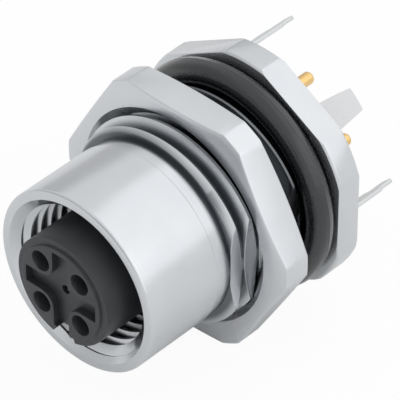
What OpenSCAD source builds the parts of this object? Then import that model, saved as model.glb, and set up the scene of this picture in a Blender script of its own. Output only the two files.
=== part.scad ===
// Shielded four-pole circular connector, panel mounted from the front and soldered to a board.
// The origin is the centre of the flange's front face, which seals on the back of the panel.
// +Z is up, -Y points out of the mating face and +Y towards the circuit board.
// Inside the modules z runs forwards along the connector's axis and y points up.

/* [Sleeve] */
// Outer radius of the smooth sleeve
sleeve_r = 7.15; // [7:0.05:7.2]
// Length of the smooth sleeve
sleeve_len = 6.65; // [4:0.05:9]
// Rounding of the sleeve's outer front edge
rim_round = 0.22; // [0.1:0.02:0.35]
// Radius of the mouth at the front rim
mouth_r = 6.42; // [6.2:0.02:6.6]
// Depth of the mouth's lead-in chamfer
mouth_chamfer = 0.95; // [0.5:0.05:1.4]
// Minor radius of the coupling thread in the sleeve (M12 x 1)
coupling_minor_r = 5.46; // [5.3:0.02:5.6]
// Depth of the mating cavity behind the rim
cavity_depth = 9.5; // [8:0.1:10.5]
// Chamfer on the sleeve's rear edge
sleeve_back_chamfer = 0.08; // [0.03:0.01:0.15]

/* [Panel thread] */
// Major radius of the panel thread (M16 x 1.5)
thread_r = 8; // [7.8:0.05:8.2]
// Length of the panel thread
thread_len = 7; // [6:0.1:9]
// Pitch of the thread, whose turns are drawn as plain rings
thread_pitch = 1.5; // [1:0.25:2]
// Depth of the thread
thread_depth = 0.92; // [0.6:0.02:0.95]
// Width of the flat at the top of each turn
thread_top_w = 0.19; // [0.1:0.01:0.4]
// Width of the flat at the bottom between two turns
thread_root_w = 0.25; // [0.15:0.01:0.4]
// Chamfer at each end of the thread
thread_chamfer = 0.5; // [0.2:0.05:0.8]
// Radius of the relief between sleeve and thread
groove_r = 7.05; // [6.8:0.05:7.1]
// Length of that relief
groove_len = 1.25; // [0.8:0.05:1.6]
// Distance from the axis to each of the two flats that stop the body turning
flat_x = 7.1; // [7.05:0.01:7.12]
// Radius of the neck that the flange's seal sits on
neck_r = 7.2; // [7.12:0.02:7.4]
// Length of that neck
neck_len = 1.95; // [1.6:0.05:2.2]

/* [Flange] */
// Width across the flange's flats
flange_af = 18.1; // [17.6:0.1:19]
// Diameter that the flange's corners are turned to
flange_corner_d = 19.3; // [18.7:0.1:20]
// Thickness of the flange
flange_t = 2.15; // [1.8:0.05:3]
// Chamfer on the flange's turned corners
flange_chamfer = 0.15; // [0.05:0.05:0.3]

/* [Nut] */
// Width across the nut's flats
nut_af = 18.9; // [18.4:0.1:20]
// Diameter that the nut's corners are turned to
nut_corner_d = 20.9; // [20:0.1:21.4]
// Thickness of the nut
nut_t = 2.7; // [2:0.1:3.4]
// Space between the nut and the flange as supplied
nut_stand = 4.45; // [3.6:0.05:5]
// Radius where the chamfer of the nut's faces starts
nut_face_r = 9.15; // [8.9:0.05:9.4]
// Slope of that chamfer in degrees
nut_chamfer_angle = 17; // [10:1:30]
// Radius of the countersink at each end of the nut's bore
nut_sink_r = 8.55; // [8.3:0.05:8.8]

/* [Seals] */
// Section diameter of the flange's O-ring
oring_d = 2; // [1.6:0.05:2.1]
// Section diameter of the seal around the contact insert
insert_seal_d = 1; // [0.8:0.05:1.2]

/* [Contact insert] */
// Radius of the insert's mating nose
insert_r = 4.25; // [4:0.05:4.3]
// How far the nose stands out of the sleeve's rim
insert_proud = 1.5; // [0:0.05:2]
// Length of the insert's shoulder inside the housing
shoulder_len = 4.5; // [3.6:0.1:5.2]
// Width of the raised ring around the nose's front face
nose_ring_w = 0.95; // [0.7:0.05:1.1]
// Width of the step around the nose's front edge
nose_step_w = 0.55; // [0.1:0.05:0.6]
// Depth of that step
nose_step_depth = 0.2; // [0.1:0.05:0.35]
// Depth of the cross-shaped channel between the contact bosses
recess_depth = 0.55; // [0.4:0.05:1]
// Radius of the bosses' inner corners, which run around the contact holes
boss_r = 1.12; // [1:0.02:1.2]
// Radius of the unused centre position
centre_r = 0.35; // [0.3:0.05:0.5]
// Depth of the unused centre position below the channel
centre_depth = 2; // [1:0.1:4]
// Radius of each contact hole at the front face
entry_r = 0.82; // [0.78:0.01:0.88]
// Radius of each contact hole behind its funnel
entry_hole_r = 0.72; // [0.7:0.01:0.76]
// Depth of the funnel of each contact hole
entry_depth = 0.3; // [0.1:0.05:0.5]
// Radius of the half-round coding keyway
keyway_r = 1.05; // [0.9:0.05:1.15]

/* [Contacts] */
// Diameter of the circle that the four contacts stand on
contact_pcd = 5.2; // [5:0.05:5.4]
// Radius of the bore that takes the mating pin
socket_r = 0.53; // [0.51:0.01:0.58]
// Outer radius of the socket barrel
barrel_r = 0.88; // [0.8:0.02:0.95]
// Length of the socket barrel
barrel_len = 9; // [8:0.1:10]
// Depth of the bore in the socket barrel
socket_depth = 6.5; // [6:0.1:7.5]
// How far the sockets start behind the nose's front face
socket_back = 1.35; // [1:0.05:2]
// Radius of the shank inside the insulator
shank_r = 0.75; // [0.7:0.01:0.85]
// Radius of the solder tails
tail_r = 0.5; // [0.4:0.02:0.55]
// Radius of the stem between barrel and tail, held between insert and insulator
stem_r = 1.2; // [1.1:0.02:1.25]
// Reach of the solder tails behind the flange's front face
tail_reach = 9.35; // [8.5:0.05:12]

/* [Rear insulator] */
// How far the insulator's disc stands out behind the flange
disc_proud = 0.5; // [0.2:0.05:1]
// Reach of the standoffs behind the flange's front face
standoff_reach = 7.35; // [6:0.05:8.5]
// Width of a standoff where it leaves the disc
standoff_base_w = 2.9; // [2.4:0.1:3.4]
// Width of a standoff at its end
standoff_end_w = 1.8; // [1.4:0.1:2.2]
// Thickness of a standoff along the radius
standoff_t = 1.6; // [1.2:0.1:2]
// Distance from the axis to the middle of a standoff
standoff_at = 5.3; // [5:0.05:5.3]
// How far the standoffs stay inside the disc's edge
standoff_inset = 0.15; // [0.1:0.05:0.3]

/* [Shield ring] */
// Thickness of the shield's sheet metal
sheet_t = 0.3; // [0.2:0.05:0.4]
// Outer radius of the ring that lies in the flange's back face
shield_r = 7.4; // [7.2:0.05:7.6]
// Distance from the axis to the middle of a solder tab's sheet
tab_at = 6.9; // [6.7:0.05:6.95]
// Width of a solder tab next to the ring
tab_w = 2.2; // [1.8:0.1:2.8]
// Width of a solder tab's tip
tab_tip_w = 1.1; // [0.8:0.1:1.4]
// Length of a solder tab's narrow tip
tab_tip_len = 1.6; // [1:0.1:2.4]
// Reach of the solder tabs behind the flange's front face
tab_reach = 10.45; // [9.5:0.05:12]

/* [Fits] */
// Radius of the housing's rear bore, which takes the insert and the insulator
rear_bore_r = 6.2; // [6.1:0.02:6.3]
// Radial clearance between the nut and the panel thread
thread_clear = 0.05; // [0.02:0.01:0.1]
// Radial clearance of the pieces pressed into the housing
seat_clear = 0.03; // [0.01:0.01:0.05]
// Radial clearance of the contacts in their holes
contact_clear = 0.02; // [0.01:0.01:0.04]

/* [Hidden] */
$fn = 96;
small_fn = 48;
// overshoot of the tools that cut through a face
cut = 1;

// stations along the axis, forwards of the flange's front face
thread_back_z = neck_len;
thread_front_z = thread_back_z + thread_len;
sleeve_back_z = thread_front_z + groove_len;
rim_z = sleeve_back_z + sleeve_len;
step_z = rim_z - cavity_depth;
nose_z = rim_z + insert_proud;
insert_back_z = step_z - shoulder_len;
flange_back_z = -flange_t;
disc_back_z = flange_back_z - disc_proud;
socket_z = nose_z - socket_back;
barrel_back_z = socket_z - barrel_len;
ring_pocket_z = flange_back_z + sheet_t;

// valleys of the panel thread
root_r = thread_r - thread_depth;
top_half = (thread_pitch - thread_top_w) / 2;
root_half = thread_root_w / 2;
valley_count = floor((thread_len - 2 * thread_chamfer) / thread_pitch + 0.01);
valley_front_z = thread_front_z - thread_chamfer - thread_pitch / 2;

// steps of the arc that rounds the rim
round_steps = 6;
nut_bore_r = thread_r + thread_clear;
nut_chamfer_h = (nut_corner_d / 2 - nut_face_r) * tan(nut_chamfer_angle);
nut_sink = nut_sink_r - nut_bore_r;
seat_r = rear_bore_r - seat_clear;
hole_r = barrel_r + contact_clear;
shank_hole_r = shank_r + contact_clear;
stem_hole_r = stem_r + contact_clear;
seal_z = step_z - shoulder_len / 2;
// groove in the insert's shoulder, as wide as the seal with a little room
seal_groove_w = insert_seal_d * 1.3;
seal_groove_r = seat_r - insert_seal_d;

// directions around the axis, from +X towards +Z; the flange has a corner upwards, the nut a flat
flange_turn = 30;
nut_turn = 0;
contact_angles = [45, 135, 225, 315];
standoff_angles = [45, 225];
tab_angles = [135, 315];

module along_axis() { rotate([90, 0, 0]) children(); }

// a disc or cylinder between two stations
module rod(r, z0, z1, fn = $fn) {
    translate([0, 0, min(z0, z1)]) cylinder(r = r, h = abs(z1 - z0), $fn = fn);
}

module cone(r0, r1, z0, z1, fn = $fn) {
    translate([0, 0, z0]) cylinder(r1 = r0, r2 = r1, h = z1 - z0, $fn = fn);
}

module at_contact(angle) {
    rotate([0, 0, angle]) translate([contact_pcd / 2, 0, 0]) children();
}

module hexagon(af, turn) {
    rotate(turn) circle(d = af / cos(30), $fn = 6);
}

// outline of the body from its thread to the rim, in radius and station
module body_section() {
    rim_arc = [for (i = [0:round_steps]) let (a = 90 * i / round_steps)
        [sleeve_r - rim_round * (1 - cos(a)), rim_z - rim_round * (1 - sin(a))]];
    // each valley of the thread, from the flange forwards: side, step away from its middle, radius
    valley = [[-1, top_half, thread_r], [-1, root_half, root_r],
              [1, root_half, root_r], [1, top_half, thread_r]];
    thread_rings = [for (i = [valley_count - 1:-1:0]) each
        [for (v = valley) [v[2], valley_front_z - i * thread_pitch + v[0] * v[1]]]];
    polygon(concat(
        [[0, -flange_t / 2],
         [neck_r, -flange_t / 2],
         [neck_r, thread_back_z],
         [thread_r - thread_chamfer, thread_back_z],
         [thread_r, thread_back_z + thread_chamfer]],
        thread_rings,
        [[thread_r, thread_front_z - thread_chamfer],
         [thread_r - thread_chamfer, thread_front_z],
         [groove_r, thread_front_z],
         [groove_r, sleeve_back_z],
         [sleeve_r - sleeve_back_chamfer, sleeve_back_z],
         [sleeve_r, sleeve_back_z + sleeve_back_chamfer]],
        rim_arc,
        [[0, rim_z]]));
}

module thread_flats() {
    for (side = [-1, 1])
        translate([side * (flat_x + thread_r / 2), 0, thread_back_z + thread_len / 2])
            cube([thread_r, 2 * thread_r + cut, thread_len], center = true);
}

// disc that the flange's corners are turned to, chamfered at both faces
module flange_section() {
    corner_r = flange_corner_d / 2;
    polygon([[0, 0], [corner_r - flange_chamfer, 0], [corner_r, -flange_chamfer],
             [corner_r, flange_back_z + flange_chamfer],
             [corner_r - flange_chamfer, flange_back_z], [0, flange_back_z]]);
}

module flange() {
    intersection() {
        rotate_extrude() flange_section();
        translate([0, 0, flange_back_z]) linear_extrude(flange_t) hexagon(flange_af, flange_turn);
    }
}

module housing() color([0.78, 0.79, 0.8]) along_axis()
    difference() {
        union() {
            difference() {
                rotate_extrude() body_section();
                thread_flats();
            }
            flange();
        }
        cone(coupling_minor_r, mouth_r, rim_z - mouth_chamfer, rim_z);
        rod(mouth_r, rim_z, rim_z + cut);
        rod(coupling_minor_r, step_z - cut, rim_z);
        rod(rear_bore_r, flange_back_z - cut, step_z);
        rod(shield_r + seat_clear, flange_back_z - cut, ring_pocket_z);
    }

// ring of the nut's full height, chamfered outside and countersunk inside at both ends
module nut_section() {
    corner_r = nut_corner_d / 2;
    polygon([[nut_sink_r, 0], [nut_face_r, 0], [corner_r, nut_chamfer_h],
             [corner_r, nut_t - nut_chamfer_h], [nut_face_r, nut_t], [nut_sink_r, nut_t],
             [nut_bore_r, nut_t - nut_sink], [nut_bore_r, nut_sink]]);
}

module hex_nut() color([0.76, 0.77, 0.78]) along_axis()
    translate([0, 0, nut_stand])
        intersection() {
            rotate_extrude() nut_section();
            linear_extrude(nut_t) hexagon(nut_af, nut_turn);
        }

module flange_o_ring() color([0.12, 0.13, 0.14]) along_axis()
    translate([0, 0, oring_d / 2])
        rotate_extrude() translate([neck_r + oring_d / 2, 0]) circle(d = oring_d, $fn = small_fn);

module insert_seal() color([0.12, 0.13, 0.14]) along_axis()
    translate([0, 0, seal_z])
        rotate_extrude() translate([seat_r - insert_seal_d / 2, 0]) circle(d = insert_seal_d, $fn = small_fn);

// outline of the channel in the insert's front face: a cross whose arms run between four bosses
module channel_outline() {
    boss_edge = contact_pcd / 2 * cos(45) - boss_r;
    difference() {
        union() {
            circle(r = insert_r - nose_ring_w);
            translate([-insert_r - cut, -boss_edge]) square([insert_r, 2 * boss_edge]);
        }
        for (turn = [0:90:270]) rotate(turn) translate([boss_edge, boss_edge]) {
            translate([boss_r, boss_r]) circle(r = boss_r, $fn = small_fn);
            translate([boss_r, 0]) square([insert_r, insert_r]);
            translate([0, boss_r]) square([insert_r, insert_r]);
        }
    }
}

module contact_insert() color([0.2, 0.21, 0.22]) along_axis()
    difference() {
        channel_z = nose_z - recess_depth;
        union() {
            rod(seat_r, insert_back_z, step_z);
            rod(insert_r, insert_back_z, nose_z - nose_step_depth);
            rod(insert_r - nose_step_w, insert_back_z, nose_z);
        }
        rotate_extrude() translate([seal_groove_r, seal_z - seal_groove_w / 2])
            square([insert_seal_d + cut, seal_groove_w]);
        translate([0, 0, channel_z]) linear_extrude(recess_depth + cut) channel_outline();
        translate([0, -insert_r, 0]) rod(keyway_r, step_z, nose_z + cut, small_fn);
        rod(centre_r, channel_z - centre_depth, nose_z, small_fn);
        for (a = contact_angles) at_contact(a) {
            cone(entry_hole_r, entry_r, nose_z - entry_depth, nose_z, small_fn);
            rod(entry_hole_r, socket_z - cut, nose_z + cut, small_fn);
            rod(hole_r, barrel_back_z, socket_z, small_fn);
            rod(stem_hole_r, insert_back_z - cut, barrel_back_z, small_fn);
        }
    }

// one turned contact: socket barrel, stem, shank and solder tail with a rounded tip
module contact(angle) color([0.93, 0.75, 0.42]) along_axis() at_contact(angle)
    difference() {
        tip_z = -tail_reach;
        union() {
            rod(barrel_r, barrel_back_z, socket_z, small_fn);
            rod(stem_r, insert_back_z, barrel_back_z, small_fn);
            rod(shank_r, disc_back_z, insert_back_z, small_fn);
            rod(tail_r, tip_z + tail_r, disc_back_z, small_fn);
            translate([0, 0, tip_z + tail_r]) sphere(r = tail_r, $fn = small_fn);
        }
        rod(socket_r, socket_z - socket_depth, socket_z + cut, small_fn);
    }

module contact_1() contact(contact_angles[0]);
module contact_2() contact(contact_angles[1]);
module contact_3() contact(contact_angles[2]);
module contact_4() contact(contact_angles[3]);

// side view of what stands out of the insulator or the shield ring: width across, station up
module upright(at, thickness) {
    translate([at - thickness / 2, 0, 0])
        rotate([90, 0, 90]) linear_extrude(thickness) children();
}

// a block that tapers towards the board, rounded on the outside like the disc it stands on
module standoff()
    intersection() {
        upright(standoff_at, standoff_t)
            polygon([[-standoff_base_w / 2, flange_back_z], [standoff_base_w / 2, flange_back_z],
                     [standoff_end_w / 2, -standoff_reach], [-standoff_end_w / 2, -standoff_reach]]);
        rod(seat_r - standoff_inset, -standoff_reach - cut, flange_back_z);
    }

module rear_insulator() color([0.88, 0.88, 0.87]) along_axis()
    difference() {
        union() {
            rod(seat_r, disc_back_z, insert_back_z);
            for (a = standoff_angles) rotate([0, 0, a]) standoff();
        }
        for (a = contact_angles) at_contact(a)
            rod(shank_hole_r, disc_back_z - cut, insert_back_z + cut, small_fn);
    }

// flat strip that steps down to a narrow tip for the board's slot
module solder_tab() upright(tab_at, sheet_t) {
    step = tab_tip_len - tab_reach;
    translate([-tab_w / 2, step]) square([tab_w, ring_pocket_z - step]);
    translate([-tab_tip_w / 2, -tab_reach]) square([tab_tip_w, tab_tip_len]);
}

module shield_ring() color([0.8, 0.81, 0.81]) along_axis()
    union() {
        difference() {
            rod(shield_r, flange_back_z, ring_pocket_z);
            rod(rear_bore_r, flange_back_z - cut, ring_pocket_z + cut);
        }
        for (a = tab_angles) rotate([0, 0, a]) solder_tab();
    }

housing();
hex_nut();
flange_o_ring();
insert_seal();
contact_insert();
contact_1();
contact_2();
contact_3();
contact_4();
rear_insulator();
shield_ring();
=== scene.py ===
import math

import bmesh
import bpy
from mathutils import Matrix, Vector


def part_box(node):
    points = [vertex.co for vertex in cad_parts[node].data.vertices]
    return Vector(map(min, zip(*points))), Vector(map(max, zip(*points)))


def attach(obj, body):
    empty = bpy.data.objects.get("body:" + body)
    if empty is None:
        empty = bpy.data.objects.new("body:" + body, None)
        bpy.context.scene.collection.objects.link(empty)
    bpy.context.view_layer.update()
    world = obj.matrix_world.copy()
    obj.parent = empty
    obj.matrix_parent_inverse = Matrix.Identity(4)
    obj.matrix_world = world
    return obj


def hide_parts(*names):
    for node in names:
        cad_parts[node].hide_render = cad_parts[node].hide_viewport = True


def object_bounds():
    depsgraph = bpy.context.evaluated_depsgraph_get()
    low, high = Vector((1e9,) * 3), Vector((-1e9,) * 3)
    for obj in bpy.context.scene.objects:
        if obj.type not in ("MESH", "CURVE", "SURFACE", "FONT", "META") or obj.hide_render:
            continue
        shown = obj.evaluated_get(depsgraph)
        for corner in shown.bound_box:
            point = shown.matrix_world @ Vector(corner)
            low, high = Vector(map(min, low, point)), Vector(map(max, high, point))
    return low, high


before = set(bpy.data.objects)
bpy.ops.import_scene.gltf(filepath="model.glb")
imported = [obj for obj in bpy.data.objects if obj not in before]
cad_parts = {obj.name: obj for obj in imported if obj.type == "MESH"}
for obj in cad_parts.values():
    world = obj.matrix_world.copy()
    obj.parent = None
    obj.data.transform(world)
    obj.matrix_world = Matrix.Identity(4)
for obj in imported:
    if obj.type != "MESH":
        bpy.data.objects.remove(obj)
cadLow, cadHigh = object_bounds()

# Every piece is modelled in millimetres with the connector's axis upright: z runs forwards from
# the flange's front face, and settle() lays it down along -Y in metres.
metresPerMm = 0.001
turnSteps = 192          # facets around the large turned pieces
smallTurnSteps = 64      # facets around contacts and holes
mergeGap = 0.0002        # points closer than this become one
overshoot = 1.0          # how far a cutter stands out of what it cuts
contactCircle = 5.2      # diameter of the circle that the four contacts stand on
contactAngles = [45, 135, 225, 315]


# back and front station of a CAD node along the axis, in millimetres
def stationsOf(node):
    low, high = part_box(node)
    return -high.y / metresPerMm, -low.y / metresPerMm


# modelling helpers

def pickOnly(piece):
    bpy.ops.object.select_all(action="DESELECT")
    piece.select_set(True)
    bpy.context.view_layer.objects.active = piece


# writes the active piece's place, turn and size into its mesh
def applyPlace():
    bpy.ops.object.transform_apply(location=True, rotation=True, scale=True)


def applyModifier(piece, kind, **settings):
    pickOnly(piece)
    bpy.ops.object.modifier_add(type=kind)
    modifier = piece.modifiers[-1]
    for key, value in settings.items():
        setattr(modifier, key, value)
    bpy.ops.object.modifier_apply(modifier=modifier.name)


def combine(piece, tool, operation):
    applyModifier(piece, "BOOLEAN", operation=operation, solver="EXACT", object=tool)
    pickOnly(tool)
    bpy.ops.object.delete()
    return piece


# the same line with an arc at each point that has a third number, its radius
def roundedCorners(points, steps=4):
    line = []
    for i, point in enumerate(points):
        here = Vector(point[:2])
        if len(point) < 3 or i == 0 or i == len(points) - 1:
            line.append(here)
            continue
        toBefore = (Vector(points[i - 1][:2]) - here).normalized()
        toAfter = (Vector(points[i + 1][:2]) - here).normalized()
        half = toBefore.angle(toAfter) / 2
        centre = here + (toBefore + toAfter).normalized() * point[2] / math.sin(half)
        first = here + toBefore * point[2] / math.tan(half) - centre
        last = here + toAfter * point[2] / math.tan(half) - centre
        sweep = first.angle_signed(last)
        for step in range(steps + 1):
            turned = first.copy()
            turned.rotate(Matrix.Rotation(-sweep * step / steps, 2))
            line.append(centre + turned)
    return line


# a plane merged to one point, which is then pushed from point to point; stays in edit mode
def drawLine(name, points):
    bpy.ops.object.select_all(action="DESELECT")
    bpy.ops.mesh.primitive_plane_add(size=1, location=(0, 0, 0))
    piece = bpy.context.object
    piece.name = name
    bpy.ops.object.mode_set(mode="EDIT")
    bpy.ops.mesh.merge(type="CENTER")
    bpy.ops.transform.translate(value=points[0])
    for before, after in zip(points, points[1:]):
        bpy.ops.mesh.extrude_vertices_move(
            TRANSFORM_OT_translate={"value": Vector(after) - Vector(before)})
    return piece


def cleanShell():
    bpy.ops.mesh.select_all(action="SELECT")
    bpy.ops.mesh.remove_doubles(threshold=mergeGap)
    bpy.ops.mesh.normals_make_consistent(inside=False)
    bpy.ops.object.mode_set(mode="OBJECT")


# a section of (radius, station, corner radius) points, spun around the axis
def turned(name, section, steps=turnSteps):
    piece = drawLine(name, [(p.x, 0, p.y) for p in roundedCorners(section)])
    bpy.ops.mesh.select_all(action="SELECT")
    bpy.ops.mesh.spin(steps=steps, angle=2 * math.pi, center=(0, 0, 0), axis=(0, 0, 1))
    cleanShell()
    return piece


# a closed outline of (x, y, corner radius) points, filled and extruded between two stations
def prism(name, outline, low, high):
    line = roundedCorners(outline + outline[:1])
    piece = drawLine(name, [(p.x, p.y, low) for p in line])
    bpy.ops.mesh.select_all(action="SELECT")
    bpy.ops.mesh.remove_doubles(threshold=mergeGap)
    bpy.ops.mesh.edge_face_add()
    bpy.ops.mesh.extrude_region_move(TRANSFORM_OT_translate={"value": (0, 0, high - low)})
    cleanShell()
    return piece


# one pitch of a thread's section, wound up by a Screw modifier and cut off at both ends
def threadedRod(name, thread, low, high):
    pitch, crest, root = thread["pitch"], thread["crest"], thread["root"]
    crestFlat, rootFlat = thread["crestFlat"] / 2, thread["rootFlat"] / 2
    turnsBelow = math.ceil((thread["crestStation"] - low) / pitch) + 1
    start = thread["crestStation"] - turnsBelow * pitch
    drawLine(name, [(crest, 0, start), (crest, 0, start + crestFlat),
                    (root, 0, start + pitch / 2 - rootFlat),
                    (root, 0, start + pitch / 2 + rootFlat),
                    (crest, 0, start + pitch - crestFlat), (crest, 0, start + pitch)])
    bpy.ops.object.mode_set(mode="OBJECT")
    piece = bpy.context.object
    applyModifier(piece, "SCREW", axis="Z", angle=2 * math.pi, screw_offset=pitch,
                  iterations=math.ceil((high - start) / pitch) + 1,
                  steps=turnSteps, render_steps=turnSteps)
    bpy.ops.object.mode_set(mode="EDIT")
    bpy.ops.mesh.select_all(action="SELECT")
    bpy.ops.mesh.remove_doubles(threshold=mergeGap)
    bpy.ops.mesh.bisect(plane_co=(0, 0, low), plane_no=(0, 0, 1), use_fill=True, clear_inner=True)
    bpy.ops.mesh.select_all(action="SELECT")
    bpy.ops.mesh.bisect(plane_co=(0, 0, high), plane_no=(0, 0, 1), use_fill=True, clear_outer=True)
    cleanShell()
    return piece


def hexagonBar(name, acrossFlats, low, high, cornerAngle):
    bpy.ops.object.select_all(action="DESELECT")
    bpy.ops.mesh.primitive_cylinder_add(
        vertices=6, radius=acrossFlats / 2 / math.cos(math.pi / 6), depth=high - low,
        location=(0, 0, (low + high) / 2), rotation=(0, 0, math.radians(cornerAngle)))
    piece = bpy.context.object
    piece.name = name
    applyPlace()
    return piece


# moves a piece from the axis to its place on the contact circle
def placeOnCircle(piece, degrees, turnToo=False):
    pickOnly(piece)
    turn = math.radians(degrees)
    if turnToo:
        piece.rotation_euler = (0, 0, turn)
    piece.location = (contactCircle / 2 * math.cos(turn), contactCircle / 2 * math.sin(turn), 0)
    applyPlace()


# a flat piece with its edges broken, stood up behind the flange with its thickness outwards;
# its outline is drawn lying down, with x along its width and y backwards
def standingPlate(name, outline, middle, thickness, bevel, degrees):
    plate = prism(name, outline, middle - thickness / 2, middle + thickness / 2)
    applyModifier(plate, "BEVEL", width=bevel, segments=2, limit_method="ANGLE",
                  angle_limit=math.radians(50))
    pickOnly(plate)
    plate.rotation_euler = (-math.pi / 2, 0, 0)
    applyPlace()
    pickOnly(plate)
    plate.rotation_euler = (0, 0, math.radians(degrees - 90))
    bpy.ops.object.transform_apply(location=False, rotation=True, scale=False)
    return plate


# lays the finished piece down in the row's frame, gives it its finish and its body
def settle(piece, name, body, material, nodes, smoothAngle=30):
    piece.name = name
    piece.data.name = name
    pickOnly(piece)
    piece.rotation_euler = (math.pi / 2, 0, 0)
    piece.scale = (metresPerMm,) * 3
    applyPlace()
    bpy.ops.object.shade_smooth_by_angle(angle=math.radians(smoothAngle))
    piece.data.materials.clear()
    piece.data.materials.append(material)
    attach(piece, body)
    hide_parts(*nodes)
    print("finished", name, len(piece.data.polygons), "faces")
    return piece


# materials

# a hex colour as linear numbers
def srgb(code):
    parts = [int(code[i:i + 2], 16) / 255 for i in (1, 3, 5)]
    return (*[p / 12.92 if p <= 0.04045 else ((p + 0.055) / 1.055) ** 2.4 for p in parts], 1)


noiseLow, noiseHigh = 0.3, 0.7    # what a noise texture mostly stays between
bumpDepth = 0.02 * metresPerMm    # height of lathe rings and grain on metal
grainDepth = 0.03 * metresPerMm   # height of the grain on moulded pieces


# the texture scale that gives features of this many millimetres
def perMm(size):
    return 1 / (size * metresPerMm)


def addNode(tree, kind, values=None, links=None, **settings):
    node = tree.nodes.new(kind)
    for key, value in settings.items():
        setattr(node, key, value)
    for key, value in (values or {}).items():
        node.inputs[key].default_value = value
    for key, source in (links or {}).items():
        tree.links.new(source, node.inputs[key])
    return node


def startMaterial(name):
    material = bpy.data.materials.new(name)
    material.use_nodes = True
    material.node_tree.nodes.clear()
    return material, material.node_tree


# painted shade: 1 where the nickel is darkened to stand in for shade, 0 elsewhere: deep between
# the threads, but not on the milled flats, and all over the turns behind the nut and ring; each
# limit fades from its first number of millimetres to its second
def paintedShadeMask(tree, place, paintedShade):
    flat = addNode(tree, "ShaderNodeVectorMath", operation="MULTIPLY",
                   links={0: place}, values={1: (1, 0, 1)})
    radius = addNode(tree, "ShaderNodeVectorMath", operation="LENGTH",
                     links={0: flat.outputs[0]}).outputs["Value"]
    parts = addNode(tree, "ShaderNodeSeparateXYZ", links={0: place})
    along = parts.outputs["Y"]
    across = addNode(tree, "ShaderNodeMath", operation="ABSOLUTE",
                     links={0: parts.outputs["X"]}).outputs[0]

    def fade(value, none, full):
        return addNode(tree, "ShaderNodeMapRange", interpolation_type="SMOOTHSTEP",
                       links={"Value": value},
                       values={"From Min": none * metresPerMm,
                               "From Max": full * metresPerMm}).outputs[0]

    def both(first, second, operation="MULTIPLY"):
        return addNode(tree, "ShaderNodeMath", operation=operation,
                       links={0: first, 1: second}).outputs[0]

    deep = both(fade(radius, *paintedShade["crestToRoot"]), fade(along, *paintedShade["threadFront"]))
    deep = both(deep, fade(across, *paintedShade["flat"]))
    behind = both(fade(radius, *paintedShade["outside"]), fade(along, *paintedShade["behindNut"]))
    outside = both(fade(radius, *paintedShade["wall"]), fade(along, *paintedShade["flangeFace"]))
    return both(both(deep, behind, "MAXIMUM"), outside)


# satin nickel plate over turned brass: clear soft reflections, drawn out by rings left by the lathe
def turnedNickel(name, look):
    material, tree = startMaterial(name)
    place = addNode(tree, "ShaderNodeTexCoord").outputs["Object"]
    # rings repeat along the axis (object Y) and hardly change around it
    rings = addNode(tree, "ShaderNodeMapping", links={"Vector": place},
                    values={"Scale": (look["ringStretch"], 1, look["ringStretch"])})
    lathe = addNode(tree, "ShaderNodeTexNoise", links={"Vector": rings.outputs[0]},
                    values={"Scale": perMm(look["ringSpacing"]), "Detail": 2.0})
    cloud = addNode(tree, "ShaderNodeTexNoise", links={"Vector": place},
                    values={"Scale": perMm(look["cloudSize"]), "Detail": 3.0})
    grain = addNode(tree, "ShaderNodeTexNoise", links={"Vector": place},
                    values={"Scale": perMm(look["grainSize"]), "Detail": 2.0})
    tint = addNode(tree, "ShaderNodeMix", data_type="RGBA",
                   links={"Factor": cloud.outputs["Fac"]},
                   values={"A": srgb(look["dark"]), "B": srgb(look["light"])})
    colour = tint.outputs["Result"]
    # painted shade: mixes a darker grey in where the thread valleys and the turns behind the nut lie in
    # shade
    if "paintedShade" in look:
        colour = addNode(tree, "ShaderNodeMix", data_type="RGBA",
                         links={"Factor": paintedShadeMask(tree, place, look["paintedShade"]), "A": colour},
                         values={"B": srgb(look["paintedShade"]["colour"])}).outputs["Result"]
    gloss = addNode(tree, "ShaderNodeMapRange", links={"Value": cloud.outputs["Fac"]},
                    values={"From Min": noiseLow, "From Max": noiseHigh,
                            "To Min": look["smooth"], "To Max": look["rough"]})
    ringBump = addNode(tree, "ShaderNodeBump", links={"Height": lathe.outputs["Fac"]},
                       values={"Strength": look["ringStrength"], "Distance": bumpDepth})
    grainBump = addNode(tree, "ShaderNodeBump",
                        links={"Height": grain.outputs["Fac"], "Normal": ringBump.outputs[0]},
                        values={"Strength": look["grainStrength"], "Distance": bumpDepth})
    metal = addNode(tree, "ShaderNodeBsdfPrincipled",
                    links={"Base Color": colour, "Roughness": gloss.outputs[0],
                           "Normal": grainBump.outputs[0]},
                    values={"Metallic": 1.0})
    addNode(tree, "ShaderNodeOutputMaterial", links={"Surface": metal.outputs[0]})
    return material


# moulded plastic or rubber: even colour with a little mottling and the fine matt grain of an
# eroded mould; film is the silicone grease on a seal, which shines over it
def mouldedSoft(name, look):
    material, tree = startMaterial(name)
    place = addNode(tree, "ShaderNodeTexCoord").outputs["Object"]
    cloud = addNode(tree, "ShaderNodeTexNoise", links={"Vector": place},
                    values={"Scale": perMm(look["cloudSize"]), "Detail": 4.0})
    grain = addNode(tree, "ShaderNodeTexNoise", links={"Vector": place},
                    values={"Scale": perMm(look["grainSize"]), "Detail": 3.0})
    tint = addNode(tree, "ShaderNodeMix", data_type="RGBA",
                   links={"Factor": cloud.outputs["Fac"]},
                   values={"A": srgb(look["dark"]), "B": srgb(look["light"])})
    gloss = addNode(tree, "ShaderNodeMapRange", links={"Value": grain.outputs["Fac"]},
                    values={"From Min": noiseLow, "From Max": noiseHigh,
                            "To Min": look["smooth"], "To Max": look["rough"]})
    bump = addNode(tree, "ShaderNodeBump", links={"Height": grain.outputs["Fac"]},
                   values={"Strength": look["grainStrength"], "Distance": grainDepth})
    surface = addNode(tree, "ShaderNodeBsdfPrincipled",
                      links={"Base Color": tint.outputs["Result"], "Roughness": gloss.outputs[0],
                             "Normal": bump.outputs[0]},
                      values={"IOR": look["ior"], "Coat Weight": look["film"],
                              "Coat Roughness": look["smooth"]})
    addNode(tree, "ShaderNodeOutputMaterial", links={"Surface": surface.outputs[0]})
    return material
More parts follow.
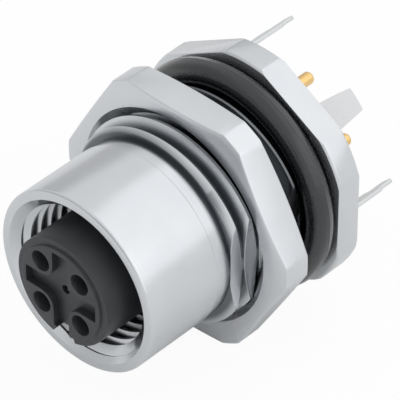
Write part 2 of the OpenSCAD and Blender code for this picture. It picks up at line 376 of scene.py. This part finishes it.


# turned brass with satin nickel: pale cool grey, soft streaks, and painted shade in the threads and
# behind the nut
housingFinish = turnedNickel("turnedNickelPlate", {
    "dark": "#CDCFD2", "light": "#DADCDE", "smooth": 0.2, "rough": 0.27,
    "ringSpacing": 0.12, "ringStretch": 0.03, "ringStrength": 0.12,
    "cloudSize": 3.0, "grainSize": 0.15, "grainStrength": 0.05,
    # painted shade: the darker grey and where it goes, in the thread valleys and behind the nut
    "paintedShade": {"colour": "#707376", "crestToRoot": (7.9, 7.35), "threadFront": (-9.6, -9.1),
             "flat": (7.095, 7.04),
             "outside": (8.4, 8.1), "behindNut": (-4.7, -4.3), "wall": (6.5, 6.7),
             "flangeFace": (0.1, -0.1)}})
# barrel-plated nut: the same nickel, a little paler and more matt from tumbling
nutFinish = turnedNickel("tumbledNickelPlate", {
    "dark": "#D3D5D8", "light": "#DEE0E2", "smooth": 0.26, "rough": 0.34,
    "ringSpacing": 0.3, "ringStretch": 1.0, "ringStrength": 0.08,
    "cloudSize": 2.5, "grainSize": 0.12, "grainStrength": 0.12})
# tinned brass sheet: flat, whitish and soft in its reflections
shieldFinish = turnedNickel("tinPlatedSheet", {
    "dark": "#C4C6C6", "light": "#D2D4D4", "smooth": 0.3, "rough": 0.4,
    "ringSpacing": 0.2, "ringStretch": 0.2, "ringStrength": 0.1,
    "cloudSize": 1.5, "grainSize": 0.1, "grainStrength": 0.12})
# hard gold plate on turned contacts: warm yellow with small bright glints
goldFinish = turnedNickel("hardGoldPlate", {
    "dark": "#E9BE72", "light": "#F4D49A", "smooth": 0.2, "rough": 0.28,
    "ringSpacing": 0.08, "ringStretch": 0.05, "ringStrength": 0.1,
    "cloudSize": 1.0, "grainSize": 0.08, "grainStrength": 0.06})
# greased nitrile rubber: near black with one broad soft shine along the ring
rubberFinish = mouldedSoft("nitrileRubberMoulded", {
    "dark": "#17191B", "light": "#1E2022", "smooth": 0.2, "rough": 0.3, "ior": 1.52,
    "cloudSize": 1.6, "grainSize": 0.12, "grainStrength": 0.06, "film": 0.55})
# glass-filled polyamide: dark grey, even and almost matt
insertFinish = mouldedSoft("polyamideMouldedAnthracite", {
    "dark": "#26282B", "light": "#303235", "smooth": 0.36, "rough": 0.48, "ior": 1.53,
    "cloudSize": 1.2, "grainSize": 0.1, "grainStrength": 0.2, "film": 0.0})
# white polyester: light and chalky, hardly any shine
insulatorFinish = mouldedSoft("polyesterMouldedWhite", {
    "dark": "#D2D2D3", "light": "#DADADA", "smooth": 0.38, "rough": 0.5, "ior": 1.57,
    "cloudSize": 1.5, "grainSize": 0.12, "grainStrength": 0.15, "film": 0.0})
print("materials made")


# housing

flangeBack, rimFront = stationsOf("housing")
housing = {
    "sleeveRadius": 7.15, "sleeveBack": 10.2, "rimRound": 0.22, "rimInnerRound": 0.12,
    "backChamfer": 0.08, "grooveRadius": 7.05, "neckRadius": 7.2,
    "threadBack": 1.95, "threadFront": 8.95, "threadChamfer": 0.5, "flatX": 7.1,
    "mouthRadius": 6.42, "couplingRadius": 5.46, "couplingThreadBack": 9.4,
    "cavityBack": 7.35, "rearBoreRadius": 6.2, "pocketRadius": 7.43, "pocketDepth": 0.3,
    "flangeAcross": 18.1, "flangeCorner": 9.65, "flangeChamfer": 0.15, "edgeBevel": 0.06}
panelThread = {"pitch": 1.5, "crest": 8.0, "root": 7.08, "crestFlat": 0.19, "rootFlat": 0.3,
               "crestStation": 8.4}
couplingThread = {"pitch": 1.0, "crest": 6.02, "root": 5.4, "crestFlat": 0.12, "rootFlat": 0.16,
                  "crestStation": 14.6}

body = turned("housingBody", [
    (0, -1), (housing["neckRadius"], -1), (housing["neckRadius"], housing["threadBack"]),
    (housing["grooveRadius"], housing["threadBack"]), (housing["grooveRadius"], housing["sleeveBack"]),
    (housing["sleeveRadius"] - housing["backChamfer"], housing["sleeveBack"]),
    (housing["sleeveRadius"], housing["sleeveBack"] + housing["backChamfer"]),
    (housing["sleeveRadius"], rimFront, housing["rimRound"]), (0, rimFront)])

# the panel thread, chamfered at both ends and flattened on two sides
threadTop = panelThread["crest"] + 0.05
endStep = threadTop - housing["threadChamfer"]
rod = threadedRod("panelThread", panelThread, housing["threadBack"], housing["threadFront"])
chamferDisc = turned("chamferDisc", [
    (0, housing["threadBack"] - overshoot), (endStep - overshoot, housing["threadBack"] - overshoot),
    (threadTop, housing["threadBack"] + housing["threadChamfer"]),
    (threadTop, housing["threadFront"] - housing["threadChamfer"]),
    (endStep - overshoot, housing["threadFront"] + overshoot), (0, housing["threadFront"] + overshoot)])
combine(rod, chamferDisc, "INTERSECT")
pickOnly(rod)
bpy.ops.object.mode_set(mode="EDIT")
for side in (1, -1):
    bpy.ops.mesh.select_all(action="SELECT")
    bpy.ops.mesh.bisect(plane_co=(side * housing["flatX"], 0, 0), plane_no=(side, 0, 0),
                        use_fill=True, clear_outer=True)
cleanShell()
combine(body, rod, "UNION")

# the hexagonal flange, its corners turned to a circle and its edges broken
flange = hexagonBar("flange", housing["flangeAcross"], flangeBack, 0, 0)
corner, chamfer = housing["flangeCorner"], housing["flangeChamfer"]
cornerDisc = turned("cornerDisc", [
    (0, overshoot), (corner - chamfer - overshoot, overshoot), (corner - chamfer, 0),
    (corner, -chamfer), (corner, flangeBack + chamfer), (corner - chamfer, flangeBack),
    (corner - chamfer - overshoot, flangeBack - overshoot), (0, flangeBack - overshoot)])
combine(flange, cornerDisc, "INTERSECT")
applyModifier(flange, "BEVEL", width=housing["edgeBevel"], segments=2, limit_method="ANGLE",
              angle_limit=math.radians(25))
combine(body, flange, "UNION")

# mouth, coupling thread, mating cavity, rear bore and the pocket for the shield ring
boreCutter = turned("boreCutter", [
    (0, rimFront + overshoot), (housing["mouthRadius"] + overshoot, rimFront + overshoot),
    (housing["mouthRadius"], rimFront),
    (housing["couplingRadius"], rimFront - (housing["mouthRadius"] - housing["couplingRadius"])),
    (housing["couplingRadius"], housing["cavityBack"]),
    (housing["rearBoreRadius"], housing["cavityBack"]),
    (housing["rearBoreRadius"], flangeBack + housing["pocketDepth"]),
    (housing["pocketRadius"], flangeBack + housing["pocketDepth"]),
    (housing["pocketRadius"], flangeBack - overshoot), (0, flangeBack - overshoot)])
combine(body, boreCutter, "DIFFERENCE")
tap = threadedRod("tap", couplingThread, housing["couplingThreadBack"], rimFront + overshoot)
combine(body, tap, "DIFFERENCE")
settle(body, "housingShell", "connector", housingFinish, ["housing"])


# hexagon nut

nutBack, nutFront = stationsOf("hex_nut")
nut = {"across": 18.9, "corner": 10.45, "faceRadius": 9.15, "chamferAngle": 12,
       "sinkRadius": 8.5, "sinkAngle": 45, "boreRadius": 7.19, "edgeBevel": 0.08}
nutThread = {"pitch": 1.5, "crest": 8.08, "root": 7.16, "crestFlat": 0.22, "rootFlat": 0.2,
             "crestStation": panelThread["crestStation"]}
rise = (nut["corner"] - nut["faceRadius"]) * math.tan(math.radians(nut["chamferAngle"]))
nutBody = hexagonBar("nutBody", nut["across"], nutBack, nutFront, 30)
nutDisc = turned("nutDisc", [
    (0, nutBack), (nut["faceRadius"], nutBack), (nut["corner"], nutBack + rise),
    (nut["corner"], nutFront - rise), (nut["faceRadius"], nutFront), (0, nutFront)])
combine(nutBody, nutDisc, "INTERSECT")
applyModifier(nutBody, "BEVEL", width=nut["edgeBevel"], segments=3, limit_method="ANGLE",
              angle_limit=math.radians(40))
sink = (nut["sinkRadius"] - nut["boreRadius"]) * math.tan(math.radians(nut["sinkAngle"]))
wide = nut["sinkRadius"] + overshoot / math.tan(math.radians(nut["sinkAngle"]))
nutBore = turned("nutBore", [
    (0, nutBack - overshoot), (wide, nutBack - overshoot), (nut["boreRadius"], nutBack + sink),
    (nut["boreRadius"], nutFront - sink), (wide, nutFront + overshoot),
    (0, nutFront + overshoot)])
combine(nutBody, nutBore, "DIFFERENCE")
nutTap = threadedRod("nutTap", nutThread, nutBack - overshoot, nutFront + overshoot)
combine(nutBody, nutTap, "DIFFERENCE")
settle(nutBody, "hexNutThreaded", "nut", nutFinish, ["hex_nut"])


# O-rings

ringSteps, wireSteps = 160, 40    # facets around the ring and around its section
nearly = 0.001                    # points this close to a line count as on it


# a torus with the raised line that the two halves of its mould leave inside and outside
def rubberRing(name, node, ring):
    ringRadius, wireRadius, flashHeight = ring["radius"], ring["wire"], ring["flash"]
    back, front = stationsOf(node)
    middle = (back + front) / 2
    bpy.ops.object.select_all(action="DESELECT")
    bpy.ops.mesh.primitive_torus_add(
        major_radius=ringRadius, minor_radius=wireRadius, major_segments=ringSteps,
        minor_segments=wireSteps, location=(0, 0, middle))
    piece = bpy.context.object
    applyPlace()
    bpy.ops.object.mode_set(mode="EDIT")
    for side in (1, -1):
        bpy.ops.mesh.select_all(action="DESELECT")
        bpy.ops.mesh.select_mode(type="EDGE")
        mesh = bmesh.from_edit_mesh(piece.data)
        reach = ringRadius + side * wireRadius
        for edge in mesh.edges:
            if all(abs(v.co.xy.length - reach) < nearly for v in edge.verts):
                edge.select_set(True)
        bmesh.update_edit_mesh(piece.data)
        bpy.ops.mesh.bevel(offset=flashHeight, segments=2)
        bpy.ops.mesh.select_mode(type="VERT")
        bpy.ops.mesh.select_all(action="DESELECT")
        mesh = bmesh.from_edit_mesh(piece.data)
        for vert in mesh.verts:
            if abs(vert.co.xy.length - reach) < 3 * nearly and abs(vert.co.z - middle) < nearly:
                vert.select_set(True)
        bmesh.update_edit_mesh(piece.data)
        grow = (reach + side * flashHeight * 0.5) / reach
        bpy.ops.transform.resize(value=(grow, grow, 1), center_override=(0, 0, middle))
    bpy.ops.object.mode_set(mode="OBJECT")
    settle(piece, name, "connector", rubberFinish, [node], smoothAngle=50)


flangeSeal = {"radius": 8.2, "wire": 0.985, "flash": 0.03}
insertSeal = {"radius": 5.67, "wire": 0.485, "flash": 0.02}
rubberRing("flangeSealRing", "flange_o_ring", flangeSeal)
rubberRing("insertSealRing", "insert_seal", insertSeal)


# contact insert

insertBack, noseFront = stationsOf("contact_insert")
insert = {
    "noseRadius": 4.25, "stepWidth": 0.55, "stepDepth": 0.2, "shoulderRadius": 6.17,
    "shoulderFront": 7.35, "grooveRadius": 5.17, "grooveWidth": 1.3, "ringWidth": 0.95,
    "channelDepth": 0.55, "bossCorner": 1.12, "entryRadius": 0.82, "entryDepth": 0.3,
    "holeRadius": 0.72, "barrelHoleRadius": 0.9, "stemHoleRadius": 1.22,
    "barrelBack": 8.0, "socketFront": 17.0, "centreRadius": 0.35, "centreDepth": 2.0,
    "keywayRadius": 1.05, "edgeBevel": 0.06}

grooveMiddle = (insertBack + insert["shoulderFront"]) / 2
insertBody = turned("insertBody", [
    (0, insertBack), (insert["shoulderRadius"], insertBack, 0.15),
    (insert["shoulderRadius"], grooveMiddle - insert["grooveWidth"] / 2),
    (insert["grooveRadius"], grooveMiddle - insert["grooveWidth"] / 2, 0.1),
    (insert["grooveRadius"], grooveMiddle + insert["grooveWidth"] / 2, 0.1),
    (insert["shoulderRadius"], grooveMiddle + insert["grooveWidth"] / 2),
    (insert["shoulderRadius"], insert["shoulderFront"], 0.15),
    (insert["noseRadius"], insert["shoulderFront"]),
    (insert["noseRadius"], noseFront - insert["stepDepth"], 0.06),
    (insert["noseRadius"] - insert["stepWidth"], noseFront - insert["stepDepth"], 0.04),
    (insert["noseRadius"] - insert["stepWidth"], noseFront, 0.08), (0, noseFront)])
edge = contactCircle / 2 * math.cos(math.pi / 4) - insert["bossCorner"]
inner = insert["noseRadius"] - insert["ringWidth"]
channelBack = noseFront - insert["channelDepth"]
corner = insert["bossCorner"]
channel = prism("channel", [
    (edge, edge, corner), (edge, inner, 0.1), (-edge, inner, 0.1), (-edge, edge, corner),
    (-inner, edge, 0.1), (-inner, -edge, 0.1), (-edge, -edge, corner), (-edge, -inner, 0.1),
    (edge, -inner, 0.1), (edge, -edge, corner), (inner, -edge, 0.1), (inner, edge, 0.1)],
    channelBack, noseFront + overshoot)
combine(insertBody, channel, "DIFFERENCE")
keyway = turned("keyway", [
    (0, insert["shoulderFront"]), (insert["keywayRadius"], insert["shoulderFront"]),
    (insert["keywayRadius"], noseFront + overshoot), (0, noseFront + overshoot)], smallTurnSteps)
pickOnly(keyway)
keyway.location = (0, -insert["noseRadius"], 0)
applyPlace()
combine(insertBody, keyway, "DIFFERENCE")
centreHole = turned("centreHole", [
    (0, channelBack - insert["centreDepth"]),
    (insert["centreRadius"], channelBack - insert["centreDepth"]),
    (insert["centreRadius"], noseFront), (0, noseFront)], smallTurnSteps)
combine(insertBody, centreHole, "DIFFERENCE")
for angle in contactAngles:
    hole = turned("contactHole", [
        (0, insertBack - overshoot), (insert["stemHoleRadius"], insertBack - overshoot),
        (insert["stemHoleRadius"], insert["barrelBack"]),
        (insert["barrelHoleRadius"], insert["barrelBack"]),
        (insert["barrelHoleRadius"], insert["socketFront"]),
        (insert["holeRadius"], insert["socketFront"]),
        (insert["holeRadius"], noseFront - insert["entryDepth"]), (insert["entryRadius"], noseFront),
        (insert["entryRadius"], noseFront + overshoot), (0, noseFront + overshoot)], smallTurnSteps)
    placeOnCircle(hole, angle)
    combine(insertBody, hole, "DIFFERENCE")
applyModifier(insertBody, "BEVEL", width=insert["edgeBevel"], segments=2, limit_method="ANGLE",
              angle_limit=math.radians(45))
settle(insertBody, "contactInsertMoulded", "connector", insertFinish,
       ["contact_insert"])


# contacts

tailBack = stationsOf("contact_1")[0]
contact = {"tailRadius": 0.5, "tailTip": 0.3, "shankRadius": 0.75, "shankBack": -2.65,
           "stemRadius": 1.2, "barrelRadius": 0.88, "barrelBack": 8.0, "socketFront": 17.0,
           "socketRadius": 0.53, "socketBack": 10.5, "drillPoint": 0.3,
           "slitWidth": 0.18, "slitBack": 13.0, "slitLength": 5.0, "slitSpan": 4.0}
firstContact = turned("firstContact", [
    (0, tailBack), (contact["tailRadius"], tailBack, contact["tailTip"]),
    (contact["tailRadius"], contact["shankBack"]),
    (contact["shankRadius"], contact["shankBack"]), (contact["shankRadius"], insertBack),
    (contact["stemRadius"], insertBack, 0.1), (contact["stemRadius"], contact["barrelBack"], 0.1),
    (contact["barrelRadius"], contact["barrelBack"]),
    (contact["barrelRadius"], contact["socketFront"], 0.1),
    (contact["socketRadius"], contact["socketFront"], 0.12),
    (contact["socketRadius"], contact["socketBack"]),
    (0, contact["socketBack"] - contact["drillPoint"])], smallTurnSteps)
bpy.ops.object.select_all(action="DESELECT")
bpy.ops.mesh.primitive_cube_add(
    size=1, location=(0, 0, contact["slitBack"] + contact["slitLength"] / 2))
slit = bpy.context.object
slit.scale = (contact["slitSpan"], contact["slitWidth"], contact["slitLength"])
applyPlace()
combine(firstContact, slit, "DIFFERENCE")
for index, angle in enumerate(contactAngles):
    pickOnly(firstContact)
    bpy.ops.object.duplicate(linked=False)
    piece = bpy.context.object
    placeOnCircle(piece, angle, turnToo=True)
    settle(piece, "socketContact" + str(index + 1), "connector", goldFinish,
           ["contact_" + str(index + 1)])
pickOnly(firstContact)
bpy.ops.object.delete()


# rear insulator

standoffBack, insulatorFront = stationsOf("rear_insulator")
insulator = {"radius": 6.17, "discBack": -2.65, "holeRadius": 0.77, "baseWidth": 2.9,
             "endWidth": 1.8, "thickness": 1.6, "at": 5.3, "inset": 0.15, "bevel": 0.12,
             "angles": [45, 225]}
disc = turned("disc", [
    (0, insulator["discBack"]), (insulator["radius"], insulator["discBack"], 0.12),
    (insulator["radius"], insulatorFront, 0.12),
    (0, insulatorFront)])
for angle in insulator["angles"]:
    standoff = standingPlate("standoff", [
        (-insulator["baseWidth"] / 2, -flangeBack), (insulator["baseWidth"] / 2, -flangeBack),
        (insulator["endWidth"] / 2, -standoffBack, 0.15),
        (-insulator["endWidth"] / 2, -standoffBack, 0.15)],
        insulator["at"], insulator["thickness"], insulator["bevel"], angle)
    rounding = turned("rounding", [
        (0, standoffBack - overshoot),
        (insulator["radius"] - insulator["inset"], standoffBack - overshoot),
        (insulator["radius"] - insulator["inset"], 0), (0, 0)])
    combine(standoff, rounding, "INTERSECT")
    combine(disc, standoff, "UNION")
for angle in contactAngles:
    hole = turned("tailHole", [
        (0, insulator["discBack"] - overshoot),
        (insulator["holeRadius"], insulator["discBack"] - overshoot),
        (insulator["holeRadius"], insulatorFront + overshoot), (0, insulatorFront + overshoot)],
        smallTurnSteps)
    placeOnCircle(hole, angle)
    combine(disc, hole, "DIFFERENCE")
settle(disc, "rearInsulatorMoulded", "connector", insulatorFinish,
       ["rear_insulator"])


# shield ring

tabBack, shieldFront = stationsOf("shield_ring")
shield = {"outer": 7.4, "inner": 6.2, "sheet": 0.3, "tabAt": 6.9, "tabWidth": 2.2,
          "tipWidth": 1.1, "tipLength": 1.6, "bevel": 0.04, "angles": [135, 315]}
ring = turned("ring", [
    (shield["inner"], flangeBack), (shield["outer"], flangeBack, 0.05),
    (shield["outer"], shieldFront, 0.05),
    (shield["inner"], shieldFront, 0.05), (shield["inner"], flangeBack)])
for angle in shield["angles"]:
    step = -tabBack - shield["tipLength"]
    tab = standingPlate("tab", [
        (-shield["tabWidth"] / 2, -shieldFront), (shield["tabWidth"] / 2, -shieldFront),
        (shield["tabWidth"] / 2, step, 0.15), (shield["tipWidth"] / 2, step, 0.15),
        (shield["tipWidth"] / 2, -tabBack, 0.2), (-shield["tipWidth"] / 2, -tabBack, 0.2),
        (-shield["tipWidth"] / 2, step, 0.15), (-shield["tabWidth"] / 2, step, 0.15)],
        shield["tabAt"], shield["sheet"], shield["bevel"], angle)
    combine(ring, tab, "UNION")
settle(ring, "shieldRingStamped", "connector", shieldFinish, ["shield_ring"])


# floor, light and camera

bpy.ops.object.select_all(action="DESELECT")
bpy.ops.mesh.primitive_plane_add(size=4, location=(0, 0, cadLow.z))
floor = bpy.context.object
floor.name = "studioFloor"
floorMaterial, tree = startMaterial("paleStudioFloor")
paleFloor = addNode(tree, "ShaderNodeBsdfDiffuse", values={"Color": srgb("#F2F2F2")})
whiteGlow = addNode(tree, "ShaderNodeEmission", values={"Color": (1, 1, 1, 1), "Strength": 1.0})
rays = addNode(tree, "ShaderNodeLightPath")
seen = addNode(tree, "ShaderNodeMath", operation="MULTIPLY", values={1: 0.94},
               links={0: rays.outputs["Is Camera Ray"]})
mixed = addNode(tree, "ShaderNodeMixShader", links={
    0: seen.outputs[0], 1: paleFloor.outputs[0], 2: whiteGlow.outputs[0]})
addNode(tree, "ShaderNodeOutputMaterial", links={"Surface": mixed.outputs[0]})
floor.data.materials.append(floorMaterial)

world = bpy.data.worlds.new("whiteStudio")
bpy.context.scene.world = world
world.use_nodes = True
tree = world.node_tree
tree.nodes.clear()
# the light tent, dimmer towards the room in front, the back left and the left
darkCards = [
    {"towards": (0.05, -0.99, 0.1), "edge": 0.86, "middle": 0.97, "dim": 0.58},
    {"towards": (-0.8, 0.57, 0.15), "edge": 0.9, "middle": 0.975, "dim": 0.32},
    {"towards": (-0.6, -0.5, 0.1), "edge": 0.5, "middle": 0.95, "dim": 0.3}]
direction = addNode(tree, "ShaderNodeTexCoord").outputs["Generated"]
level = None
for card in darkCards:
    facing = addNode(tree, "ShaderNodeVectorMath", operation="DOT_PRODUCT",
                     values={1: Vector(card["towards"]).normalized()}, links={0: direction})
    shade = addNode(tree, "ShaderNodeMapRange", interpolation_type="SMOOTHSTEP",
                    values={"From Min": card["edge"], "From Max": card["middle"],
                            "To Min": 1.0, "To Max": 1 - card["dim"]},
                    links={"Value": facing.outputs["Value"]})
    level = shade if level is None else addNode(
        tree, "ShaderNodeMath", operation="MULTIPLY",
        links={0: level.outputs[0], 1: shade.outputs[0]})
lightTent = addNode(tree, "ShaderNodeBackground", values={"Color": srgb("#F4F5F6")},
                    links={"Strength": level.outputs[0]})
whiteBack = addNode(tree, "ShaderNodeBackground", values={"Color": (1, 1, 1, 1), "Strength": 1.0})
rays = addNode(tree, "ShaderNodeLightPath")
mixed = addNode(tree, "ShaderNodeMixShader", links={
    0: rays.outputs["Is Camera Ray"], 1: lightTent.outputs[0], 2: whiteBack.outputs[0]})
addNode(tree, "ShaderNodeOutputWorld", links={"Surface": mixed.outputs[0]})

softboxes = [
    {"name": "topSoftbox", "place": (0.3, 0.35, 0.45), "size": 0.9, "power": 0.8},
    {"name": "sideSoftbox", "place": (0.55, -0.05, 0.25), "size": 0.5, "power": 0.3}]
for box in softboxes:
    bpy.ops.object.light_add(type="AREA", location=box["place"])
    lamp = bpy.context.object
    lamp.name = box["name"]
    lamp.data.size = box["size"]
    lamp.data.energy = box["power"]
    lamp.rotation_euler = (-Vector(box["place"])).to_track_quat("-Z", "Y").to_euler()

view = {"aim": (0.00376, -0.00843, 0.00433), "azimuth": 42.8, "elevation": 40.0,
        "distance": 0.2564, "lens": 338}
azimuth, elevation = math.radians(view["azimuth"]), math.radians(view["elevation"])
back = Vector((math.sin(azimuth) * math.cos(elevation), -math.cos(azimuth) * math.cos(elevation),
               math.sin(elevation)))
bpy.ops.object.camera_add(location=Vector(view["aim"]) + back * view["distance"],
                          rotation=(math.pi / 2 - elevation, 0, azimuth))
camera = bpy.context.object
camera.data.lens = view["lens"]
camera.data.sensor_width = 36
camera.data.clip_start = 0.01
bpy.context.scene.camera = camera
bpy.context.scene.view_settings.view_transform = "Standard"
print("stage ready")
